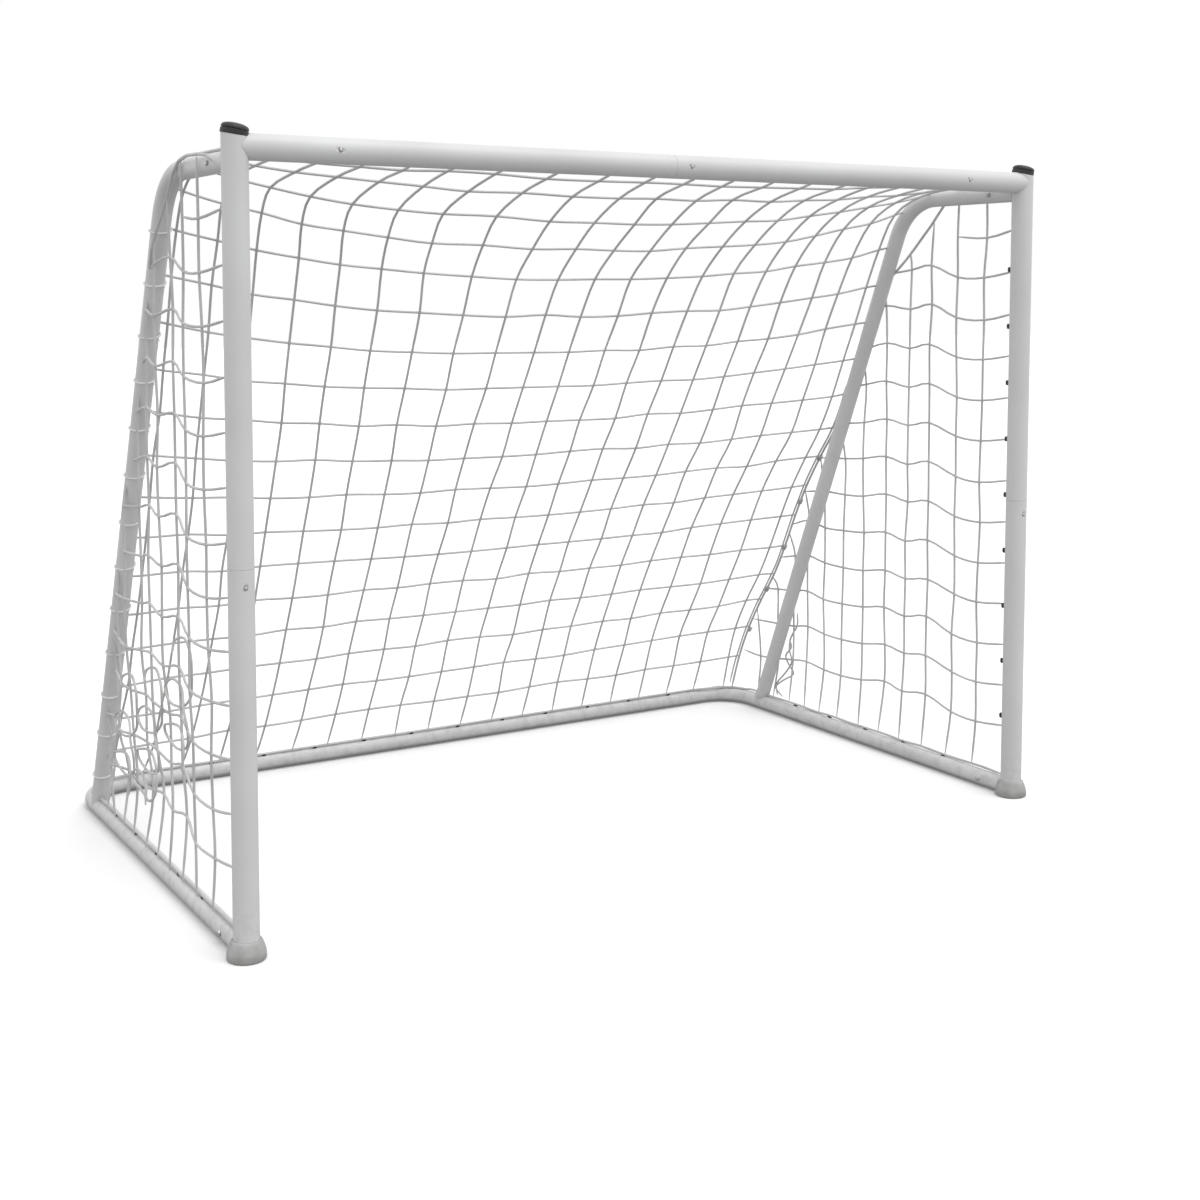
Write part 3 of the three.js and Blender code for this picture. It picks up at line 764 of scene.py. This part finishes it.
def rear_tube_y(x):
    """Where the rear tube's axis is at a distance from the middle."""
    bend_start = POST_X - GROUND_BEND_R
    if x < bend_start:
        return REAR_Y
    return REAR_Y - GROUND_BEND_R + math.sqrt(max(GROUND_BEND_R**2 - (x - bend_start) ** 2, 0))


def fold_spread(share):
    """How much wider the columns stand about the roof's fold, which is sharper at the left end."""
    if share < FOLD:
        return 0.07 * (share / FOLD) ** 2
    return 0.07 * math.exp(-(((share - FOLD) / 0.1) ** 2))


def back_point(x, share):
    """A point of the roof and back net: x across at rest, share down from the crossbar to the rear bar."""
    share = share + 0.012 * math.sin(math.pi * share)
    side = RIGHT_LINE if x > 0 else LEFT_LINE
    reach = abs(x) / EDGE_X
    pull = reach**2.2
    place = MIDDLE_LINE.at(share) * (1 - pull) + side.at(share) * pull
    spread = (0.15 if x < 0 else 0.06) * max(0, 1 - share / 0.6)
    if x < 0:
        spread += fold_spread(share)
    waist = 0.02 * math.sin(math.pi * max(0, (share - 0.6) / 0.4))
    place.x = x * (1 + 2 * (spread - waist) * (1 - reach) * min(1, reach * 3))
    # The lowest fifth swings to the rear tube.
    landed = max(0, (share - 0.8) / 0.2) ** 2
    foot_x = min(abs(x), SEAM_FOOT_X)
    foot_y = side.at(1).y * pull + MIDDLE_LINE.at(1).y * (1 - pull)
    place.x *= 1 + (foot_x / abs(x) - 1) * landed
    place.y += (rear_tube_y(foot_x) - 0.008 - foot_y) * landed
    return place


def jitter(amount):
    return Vector([loose.uniform(-amount, amount) for _ in range(3)])


def back_net(cord):
    columns = [(k - (COLUMNS - 1) / 2) * MESH_SIZE for k in range(COLUMNS)]
    crossings = [-EDGE_X, *columns, EDGE_X]
    grid = []
    for row in range(ROWS + 1):
        share = min(max((row - 0.5) / (ROWS - 0.5), 0), 1)  # the first mesh is a half one
        line = []
        for x in crossings:
            inside = abs(x) < EDGE_X and 0 < row < ROWS
            line.append(back_point(x, share) + (jitter(0.0035) if inside else Vector()))
        grid.append(line)
    net = Mesh()
    for row in range(1, ROWS):
        strand(net, grid[row])
    for k in range(1, len(crossings) - 1):
        strand(net, [grid[row][k] for row in range(ROWS + 1)])
    for row in range(1, ROWS):
        for k in range(1, len(crossings) - 1):
            along = grid[row + 1][k] - grid[row - 1][k]
            across = grid[row][k + 1] - grid[row][k - 1]
            knot(net, grid[row][k], along, across)
    for row in (0, ROWS):
        strand(net, grid[row], HEM_R, steps=4)
    for k in (0, len(crossings) - 1):
        strand(net, [grid[row][k] for row in range(ROWS + 1)], HEM_R, steps=4)
    piece = net.build("net_roof_and_back", cord, "net_cord")
    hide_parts("net_back", "net_roof")
    return grid


# Distances behind the posts of the side nets' upright cords, and how far each one's knots
# are lifted by the way it hangs from the sloping edge.
SIDE_COLUMNS = ((0.17, 0.0), (0.286, 0.006), (0.395, 0.042), (0.50, 0.026), (0.60, 0.040), (0.70, 0.025),
                (0.81, 0.018), (0.905, 0.018), (0.985, 0.034), (1.07, 0.020), (1.16, 0.010), (1.25, 0.0))
LEFT_COLUMNS = 10  # of them, because the left side's edge stays on the brace
SIDE_PITCH = 0.1235
SIDE_ROWS = 14
LOWEST_ROW = 0.18
CUT_START = (0.30, OVER_BAR - 0.012)  # where the side net's upper edge leaves the top bar
CUT_END = (0.52, 1.60)  # and where it meets the brace
HEM_START = 0.04
HEM_LENGTH = 1.228


def side_top(back):
    """Height of the side net's upper edge."""
    if back <= CUT_START[0]:
        return CUT_START[1]
    share = (back - CUT_START[0]) / (CUT_END[0] - CUT_START[0])
    return CUT_START[1] + (CUT_END[1] - CUT_START[1]) * share


def side_rear(line, height):
    """How far behind the posts the side net's rear edge is at a height."""
    low, high = 0.3, 1.0
    for _ in range(30):
        share = (low + high) / 2
        if line.at(share).z > height:
            low = share
        else:
            high = share
    return line.at(low).y - POST_Y


def side_point(sign, back, height, slack=0.0):
    """A point of a side net. Slack lets it sway out of the net's plane."""
    wave = 0.006 * math.sin(back * 23 + height * 1.7) - 0.004
    sway = slack * 0.05 * math.sin(height * 9 + back * 14)
    return Vector((sign * (NET_X + min(wave, 0.002) - abs(sway)), POST_Y + back, height))


def behind_post(sign, height):
    """A point of a side net's front edge, which runs down behind the post."""
    return Vector(((POST_X + 0.012) * sign, POST_Y + MAIN_R, height))


def side_rows(sign, line, columns):
    """The knots of each row, as (column, place). A row's ends, on the post and the rear edge, have none."""
    rows = []
    for row in range(SIDE_ROWS):
        height = LOWEST_ROW + SIDE_PITCH * row
        rear = side_rear(line, min(height, 1.60))
        knots = [(None, behind_post(sign, height + 0.02))]
        for k, (back, lift) in enumerate(columns):
            spot = height + lift
            if back > rear - 0.03 or spot > side_top(back) - 0.03:
                break
            slack = 0.0
            if sign < 0:
                slack = max(0, 1 - spot / 0.6) * min(1, back / 0.4)
            knots.append((k, side_point(sign, back, spot, slack) + jitter(0.003 + 0.012 * slack)))
        if height < 1.56:
            edge = height + 0.012
            knots.append((None, Vector((EDGE_X * sign, POST_Y + side_rear(line, edge), edge))))
        elif len(knots) < 2:
            continue
        rows.append(knots)
    return rows


def side_uprights(net, sign, line, columns, rows):
    for k, (back, _) in enumerate(columns):
        points = [place for knots in rows for column, place in knots if column == k]
        if not points:
            continue
        bottom = Vector(((NET_X - 0.012) * sign, POST_Y + back + 0.01, HEM_Z))
        top = Vector((NET_X * sign, POST_Y + back, side_top(back)))
        if back > CUT_END[0]:
            meets = next(h / 200 for h in range(320, 10, -1) if side_rear(line, h / 200) >= back)
            top.z = min(top.z, meets)
            top.x = EDGE_X * sign
        strand(net, [bottom, *points, top])


def side_edges(net, sign, line):
    """The hem on the ground bar, the front edge behind the post, and the upper edge."""
    hem = []
    for k in range(15):
        height = HEM_Z + 0.003 * math.sin(k * 1.9) ** 2
        hem.append(Vector((EDGE_X * sign, POST_Y + HEM_START + HEM_LENGTH * k / 14, height)))
    for k in range(1, 5):
        angle = math.pi / 2 * k / 5
        hem.append(Vector((
            sign * (POST_X - GROUND_BEND_R * (1 - math.cos(angle))),
            REAR_Y - GROUND_BEND_R * (1 - math.sin(angle)),
            HEM_Z,
        )))
    strand(net, hem, HEM_R)
    front = [behind_post(sign, HEM_Z + 0.02 + 0.12 * k) for k in range(15)]
    strand(net, front, HEM_R)
    upper = [
        front[-1],
        Vector((NET_X * sign, POST_Y + 0.10, CUT_START[1])),
        Vector((NET_X * sign, POST_Y + CUT_START[0], CUT_START[1])),
        Vector((NET_X * sign, POST_Y + 0.41, side_top(0.41) + 0.004)),
        Vector((NET_X * sign, POST_Y + CUT_END[0], CUT_END[1])),
        Vector((EDGE_X * sign, POST_Y + side_rear(line, 1.5), 1.5)),
    ]
    strand(net, upper, HEM_R)


def side_net(name, sign, cord):
    line = RIGHT_LINE if sign > 0 else LEFT_LINE
    columns = SIDE_COLUMNS if sign > 0 else SIDE_COLUMNS[:LEFT_COLUMNS]
    net = Mesh()
    rows = side_rows(sign, line, columns)
    for knots in rows:
        if len(knots) > 1:
            strand(net, [place for _, place in knots])
    side_uprights(net, sign, line, columns, rows)
    for knots in rows:
        for before, (_, place), after in zip(knots, knots[1:], knots[2:]):
            knot(net, place, Z, after[1] - before[1])
    side_edges(net, sign, line)
    piece = net.build(f"net_{name}_side", cord, "net_cord")
    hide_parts(f"net_{name}")


def loop_round(mesh, centre, axis, radius, cord_r, lean=0.0):
    """One turn of cord round a tube, leaning along it."""
    first, second = square_to(axis)
    run = []
    for k in range(17):
        angle = 2 * math.pi * k / 16
        spoke = (first * math.cos(angle) + second * math.sin(angle)) * (radius + cord_r)
        run.append(centre + spoke + axis * lean * (k / 16 - 0.5))
    strand(mesh, run, cord_r, steps=1)


def left_lacing(lace):
    """Turns of cord down the left brace, that tie the net's edge to it."""
    laces = Mesh()
    corner = brace_places(-1)[0]
    length = (LANDING_Y - CORNER_Y) / BRACE_DOWN.y
    distance = 0.15
    while distance < length - 0.06:
        centre = corner + BRACE_DOWN * distance
        loop_round(laces, centre, BRACE_DOWN, SIDE_R, 0.0026, lean=0.022 + loose.uniform(-0.006, 0.01))
        distance += 0.134 + loose.uniform(-0.012, 0.012)
    laces.build("left_brace_lacing", lace, "net_cord")


def right_ties(cord):
    """The loose edge beside the right brace: doubled and tied, with its slack by the brace's foot."""
    ties = Mesh()
    for share in (0.42, 0.50, 0.58, 0.66, 0.74, 0.82, 0.90):
        edge = RIGHT_LINE.at(share)
        edge.x = EDGE_X
        along = (RIGHT_LINE.at(share + 0.02) - RIGHT_LINE.at(share)).normalized()
        for turn in range(3):
            loop_round(ties, edge + Vector((0, 0.004, -0.006)) * turn, along, HEM_R, 0.0024, lean=0.006)
    doubled = []
    for k in range(20):
        beside = Vector((-0.011 - 0.008 * (k % 2), -0.010 * (k % 2), 0.004))
        doubled.append(back_point(EDGE_X, 0.45 + 0.0285 * k) + beside)
    strand(ties, doubled, 0.0034)
    for reach, top in ((0.018, 0.37), (0.028, 0.27)):
        slack = []
        for k in range(8):
            height = top - (top - HEM_Z) * k / 7
            brace_y = LANDING_Y - (height - GROUND_Z) * BRACE_DOWN.y / -BRACE_DOWN.z
            swing = Vector((0.3 * math.sin(k * 1.9), -1.4 - math.sin(k * 1.6 + reach * 60), 0)) * reach
            slack.append(Vector((POST_X + SIDE_R + 0.008, brace_y - 0.02, height)) + swing * min(1, k / 2))
        strand(ties, slack, 0.0032)
    ties.build("right_edge_ties", cord, "net_cord")


def left_slack(cord):
    """The left side's slack lies in curls against the inside of the net, tied into it at both ends."""
    curls = Mesh()
    for start, height, turns in ((-0.36, 0.62, 3), (-0.12, 0.50, 4), (0.10, 0.44, 3)):
        run = []
        for k in range(8 * turns):
            angle = k * math.pi / 4.5
            wide = 0.045 + 0.018 * math.sin(k * 0.9)
            clear = min(1, k / 2, (8 * turns - 1 - k) / 2)
            run.append(Vector((
                -NET_X + (0.012 + 0.006 * math.sin(k * 1.3)) * clear,
                start + 1.9 * wide * math.cos(angle) + 0.006 * k,
                height + 1.1 * wide * math.sin(angle) - 0.011 * k,
            )))
        strand(curls, run)
    curls.build("left_net_slack", cord, "net_cord")


# ---- Clips that hold the hem to the tubes ----

CLIP_PITCH = 0.17


def clip(mesh, place, outward, across):
    """A black clip: a low rounded hump on the tube that holds the hem cord under it."""
    side = outward.cross(across).normalized()
    rings = []
    for shift, size in ((-0.0075, 0.55), (-0.0062, 0.9), (0, 1), (0.0062, 0.9), (0.0075, 0.55)):
        ring = [place + across * shift - outward * 0.0012 + side * 0.0052 * size * way for way in (-1, 1)]
        for k in range(9):
            angle = math.pi * k / 8
            ring.append(
                place + across * shift
                + side * 0.0050 * size * math.cos(angle) + outward * 0.0082 * size * math.sin(angle)
            )
        rings.append(ring)
    mesh.rings(rings)


def clip_row(name, plastic, start, step, count, outward):
    """A row of clips, from start and a step apart."""
    row = Mesh()
    for k in range(count):
        clip(row, start + step * k, outward, step.normalized())
    row.build(name, plastic, "black_plastic")


def clips(plastic):
    face = Vector((0, -0.28, 0.96)).normalized()
    clip_row("rear_bar_clips", plastic, Vector((-0.97, REAR_Y, GROUND_Z)) + face * SIDE_R,
             X * CLIP_PITCH, 12, face)
    for name, sign in SIDES:
        face = Vector((sign * 0.15, 0, 0.99)).normalized()
        clip_row(f"{name}_ground_bar_clips", plastic,
                 Vector((POST_X * sign, POST_Y + 0.289, GROUND_Z)) + face * SIDE_R, Y * 0.184, 6, face)
        face = Vector((-sign * 0.55, 0.835, 0)).normalized()
        clip_row(f"{name}_post_clips", plastic,
                 Vector((POST_X * sign, POST_Y, 0.238)) + face * MAIN_R, Z * 0.1655, 9, face)
    face = Vector((0, 0.85, -0.53)).normalized()
    clip_row("crossbar_clips", plastic, Vector((-1.02, POST_Y, CROSSBAR_Z)) + face * MAIN_R,
             X * CLIP_PITCH, 13, face)


# ---- Materials ----


class Nodes:
    """A material's nodes, made by name and joined by socket."""

    def __init__(self, name):
        self.material = bpy.data.materials.new(name)
        self.material.use_nodes = True
        self.tree = self.material.node_tree
        self.shader = self.tree.nodes["Principled BSDF"]
        self.place = self.add("ShaderNodeTexCoord").outputs["Object"]

    def add(self, kind, **values):
        node = self.tree.nodes.new(kind)
        for key, value in values.items():
            if hasattr(node, key) and not key[0].isupper():
                setattr(node, key, value)
            else:
                node.inputs[key.replace("_", " ")].default_value = value
        return node

    def join(self, value, socket):
        """Gives a socket another node's output, or a plain value."""
        if isinstance(value, bpy.types.NodeSocket):
            self.tree.links.new(value, socket)
        else:
            socket.default_value = value

    def height(self):
        node = self.add("ShaderNodeSeparateXYZ")
        self.join(self.place, node.inputs["Vector"])
        return node.outputs["Z"]

    def noise(self, scale, detail=4, roughness=0.55):
        node = self.add("ShaderNodeTexNoise", Scale=scale, Detail=detail, Roughness=roughness)
        self.join(self.place, node.inputs["Vector"])
        return node.outputs["Fac"]

    def ramp(self, fac, low, high, first, second):
        node = self.add("ShaderNodeValToRGB")
        for stop, position, colour in zip(node.color_ramp.elements, (low, high), (first, second)):
            stop.position = position
            stop.color = colour
        self.join(fac, node.inputs["Fac"])
        return node.outputs["Color"]

    def bump(self, height, strength, distance, normal=None):
        node = self.add("ShaderNodeBump", Strength=strength, Distance=distance)
        self.join(height, node.inputs["Height"])
        if normal:
            self.join(normal, node.inputs["Normal"])
        return node.outputs["Normal"]

    def mix(self, fac, first, second, kind="MIX"):
        node = self.add("ShaderNodeMix", data_type="RGBA", blend_type=kind)
        for value, number in ((fac, 0), (first, 6), (second, 7)):
            self.join(value, node.inputs[number])
        return node.outputs[2]

    def mapped(self, value, end, low, high):
        """Maps 0..1 to between low and high, with end "To", or the other way with "From"."""
        node = self.add("ShaderNodeMapRange")
        self.join(value, node.inputs["Value"])
        node.inputs[f"{end} Min"].default_value = low
        node.inputs[f"{end} Max"].default_value = high
        return node.outputs["Result"]

    def finish(self, colour, grain, low, high, normal, **values):
        """The finished material. Its roughness goes from low to high with the grain."""
        inputs = self.shader.inputs
        self.join(colour, inputs["Base Color"])
        self.join(self.mapped(grain, "To", low, high), inputs["Roughness"])
        self.join(normal, inputs["Normal"])
        for key, value in values.items():
            inputs[key.replace("_", " ")].default_value = value
        return self.material


def grey(value, warm=0.0):
    return (value * (1 + warm), value, value * (1 - warm), 1)


def white_paint():
    """Powder coat: a faint orange peel, slight cloudiness, dust towards the ground, and painted shade under
    the low bars.
    """
    m = Nodes("white_powder_coat")
    cloud = m.ramp(m.noise(3.2, 3), 0.3, 0.7, grey(0.55), grey(0.61, -0.004))
    height = m.height()
    low = m.ramp(height, 0.0, 0.16, grey(1), grey(0))
    patches = m.ramp(m.noise(38, 5, 0.65), 0.46, 0.72, grey(0), grey(0.55))
    dust = m.mix(low, grey(0), patches)
    colour = m.mix(dust, cloud, grey(0.30, 0.03))
    # Painted shade: faces that look down on the bars near the ground are darkened, standing in for the
    # shade under them.
    facing = m.add("ShaderNodeSeparateXYZ")
    m.join(m.add("ShaderNodeNewGeometry").outputs["Normal"], facing.inputs["Vector"])
    down = m.mapped(facing.outputs["Z"], "From", -1, 0)
    under = m.ramp(down, 0.25, 0.72, grey(1), grey(0))
    ground = m.ramp(height, 0.05, 0.075, grey(0.85), grey(0))
    painted_underside_shade = m.mix(under, grey(0), ground)
    colour = m.mix(painted_underside_shade, colour, grey(0.2, 0.02))
    peel = m.bump(m.noise(950, 2), 0.12, 0.0004)
    normal = m.bump(m.noise(90, 3), 0.06, 0.0008, peel)
    return m.finish(colour, m.noise(60, 4), 0.34, 0.5, normal, Specular_IOR_Level=0.35)


def black_plastic():
    """Moulded black plastic with a fine grain and lighter scuffs."""
    m = Nodes("moulded_black_plastic")
    colour = m.ramp(m.noise(140, 5, 0.6), 0.35, 0.8, grey(0.012), grey(0.035))
    normal = m.bump(m.noise(1800, 3), 0.25, 0.0003)
    return m.finish(colour, m.noise(220, 4), 0.38, 0.62, normal)


def grey_rubber():
    """Soft pale rubber, darker towards its lower edge."""
    m = Nodes("pale_grey_rubber")
    base = m.ramp(m.noise(26, 5), 0.3, 0.75, grey(0.30, 0.01), grey(0.45))
    low = m.ramp(m.height(), 0.0, 0.022, grey(0.6), grey(0))
    colour = m.mix(low, base, grey(0.2, 0.05))
    normal = m.bump(m.noise(700, 4), 0.3, 0.0005)
    return m.finish(colour, m.noise(120, 3), 0.7, 0.9, normal)


def zinc_steel():
    """Bright zinc plate, with the faint blotches of plating."""
    m = Nodes("zinc_plated_steel")
    colour = m.ramp(m.noise(240, 5), 0.3, 0.7, grey(0.42, -0.02), grey(0.6, 0.01))
    normal = m.bump(m.noise(1500, 3), 0.2, 0.0002)
    return m.finish(colour, m.noise(500, 3), 0.25, 0.45, normal, Metallic=1.0)


def spring_steel():
    """Blued strip steel with fine rolling lines."""
    m = Nodes("blued_spring_steel")
    wave = m.add("ShaderNodeTexWave", Scale=220, Distortion=2)
    m.join(m.place, wave.inputs["Vector"])
    lines = wave.outputs["Fac"]
    colour = m.ramp(lines, 0, 1, grey(0.13, -0.08), grey(0.2, -0.06))
    return m.finish(colour, m.noise(300, 3), 0.3, 0.5, m.bump(lines, 0.15, 0.0002), Metallic=1.0)


def net_cord(name, tone):
    """Twisted polyethylene cord: fine slanting strands, slightly greyed in places."""
    m = Nodes(name)
    turned = m.add("ShaderNodeMapping", Rotation=(0.6, 0.5, 0.7))
    m.join(m.place, turned.inputs["Vector"])
    wave = m.add("ShaderNodeTexWave", Scale=160, Distortion=1.5, Detail=2)
    m.join(turned.outputs["Vector"], wave.inputs["Vector"])
    twist = wave.outputs["Fac"]
    shade = m.ramp(m.noise(9, 4), 0.3, 0.75, grey(tone * 0.85, 0.01), grey(tone * 1.1))
    strands = m.ramp(twist, 0.1, 0.9, grey(0.72), grey(1))
    colour = m.mix(1.0, shade, strands, "MULTIPLY")
    return m.finish(colour, m.noise(80, 3), 0.6, 0.8, m.bump(twist, 0.5, 0.0006), Sheen_Weight=0.2)


# ---- Camera, light and floor ----


def camera():
    data = bpy.data.cameras.new("camera")
    data.lens = 49.92
    data.sensor_width = 36
    data.shift_x = 0.0217
    data.shift_y = -0.1517
    eye = bpy.data.objects.new("camera", data)
    eye.location = (-2.4355, -4.1956, 1.4944)
    eye.rotation_euler = (math.radians(90 - 4.3), 0, math.radians(-30.99))
    bpy.context.scene.collection.objects.link(eye)
    bpy.context.scene.camera = eye


def surroundings():
    """White light from all round. Less comes from below, as over grass."""
    world = bpy.data.worlds.new("studio")
    world.use_nodes = True
    nodes = world.node_tree.nodes
    background = nodes["Background"]
    background.inputs["Color"].default_value = (1, 1, 1, 1)
    height = nodes.new("ShaderNodeSeparateXYZ")
    light = nodes.new("ShaderNodeMapRange")
    for socket, value in (("From Min", -0.35), ("From Max", -0.06), ("To Min", 0.44), ("To Max", 1.0)):
        light.inputs[socket].default_value = value
    join = world.node_tree.links.new
    join(nodes.new("ShaderNodeTexCoord").outputs["Generated"], height.inputs["Vector"])
    join(height.outputs["Z"], light.inputs["Value"])
    join(light.outputs["Result"], background.inputs["Strength"])
    bpy.context.scene.world = world


def studio():
    """The light and the pale floor, which is seen but doesn't light the tubes."""
    bpy.context.scene.view_settings.view_transform = "Standard"
    surroundings()
    lamp = bpy.data.lights.new("key", "SUN")
    lamp.energy = 1.5
    lamp.angle = math.radians(50)
    key = bpy.data.objects.new("key", lamp)
    key.rotation_euler = Vector((0.24, -0.33, 0.91)).to_track_quat("Z", "Y").to_euler()
    bpy.context.scene.collection.objects.link(key)

    reach = 40
    corners = [(x * reach, y * reach, 0) for x, y in ((-1, -1), (1, -1), (1, 1), (-1, 1))]
    data = bpy.data.meshes.new("floor")
    data.from_pydata(corners, [], [(0, 1, 2, 3)])
    plane = bpy.data.objects.new("floor", data)
    bpy.context.scene.collection.objects.link(plane)
    m = Nodes("pale_floor")
    m.join(m.ramp(m.noise(2, 2), 0.3, 0.7, grey(0.86), grey(0.88)), m.shader.inputs["Base Color"])
    m.join(0.9, m.shader.inputs["Roughness"])
    data.materials.append(m.material)
    plane.visible_diffuse = False
    plane.visible_glossy = False


camera()
studio()
paint = white_paint()
plastic = black_plastic()
zinc = zinc_steel()
cord = net_cord("twisted_net_cord", 0.60)
posts(paint)
crossbar(paint)
side_frames(paint)
caps(plastic)
feet(grey_rubber())
buttons(zinc)
bolts(zinc)
springs(spring_steel())
back_net(cord)
for side, sign in SIDES:
    side_net(side, sign, cord)
left_lacing(net_cord("white_lacing_cord", 0.85))
right_ties(cord)
left_slack(cord)
clips(plastic)
